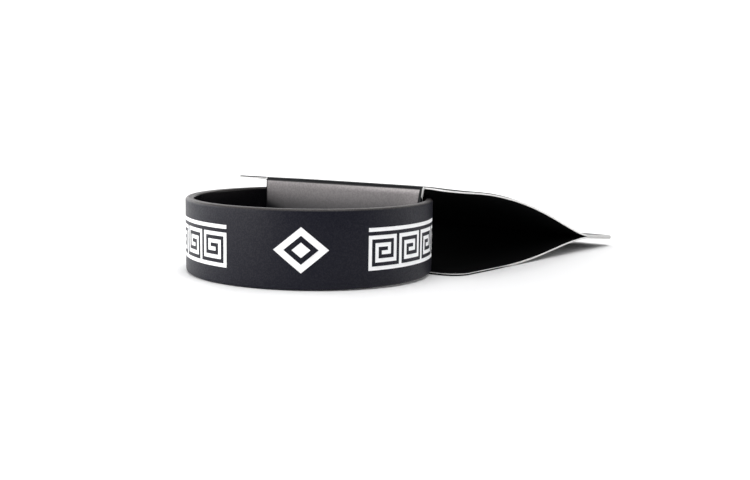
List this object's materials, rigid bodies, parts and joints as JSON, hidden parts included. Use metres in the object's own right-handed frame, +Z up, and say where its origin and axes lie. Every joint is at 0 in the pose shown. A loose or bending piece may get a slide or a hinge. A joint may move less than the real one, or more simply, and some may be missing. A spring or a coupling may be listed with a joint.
{
  "type": "silicone wristband on a folded display card",
  "caption": "Wide black silicone wristband with a sunk white lozenge and key pattern, hooked on a plain black card that is folded round it and glued to a tab behind.",
  "frame": {"origin": "middle of the footprint, on the surface that the part rests on", "axes": "+Z up along the band's axis, +Y from the band towards the card's glued tab, +X along the card's spine"},
  "size_m": [0.088, 0.1501, 0.024],
  "materials": {
    "black_silicone": "matte moulded silicone with a soft sheen",
    "white_fill": "matte white silicone ink in the sunk pattern",
    "black_card": "satin black coated board with a white core"
  },
  "bodies": {
    "root": {"silicone_band": "black_silicone", "front_motif_fill": "white_fill", "right_fret_fill": "white_fill", "left_fret_fill": "white_fill", "display_card": "black_card"}
  },
  "joints": []
}
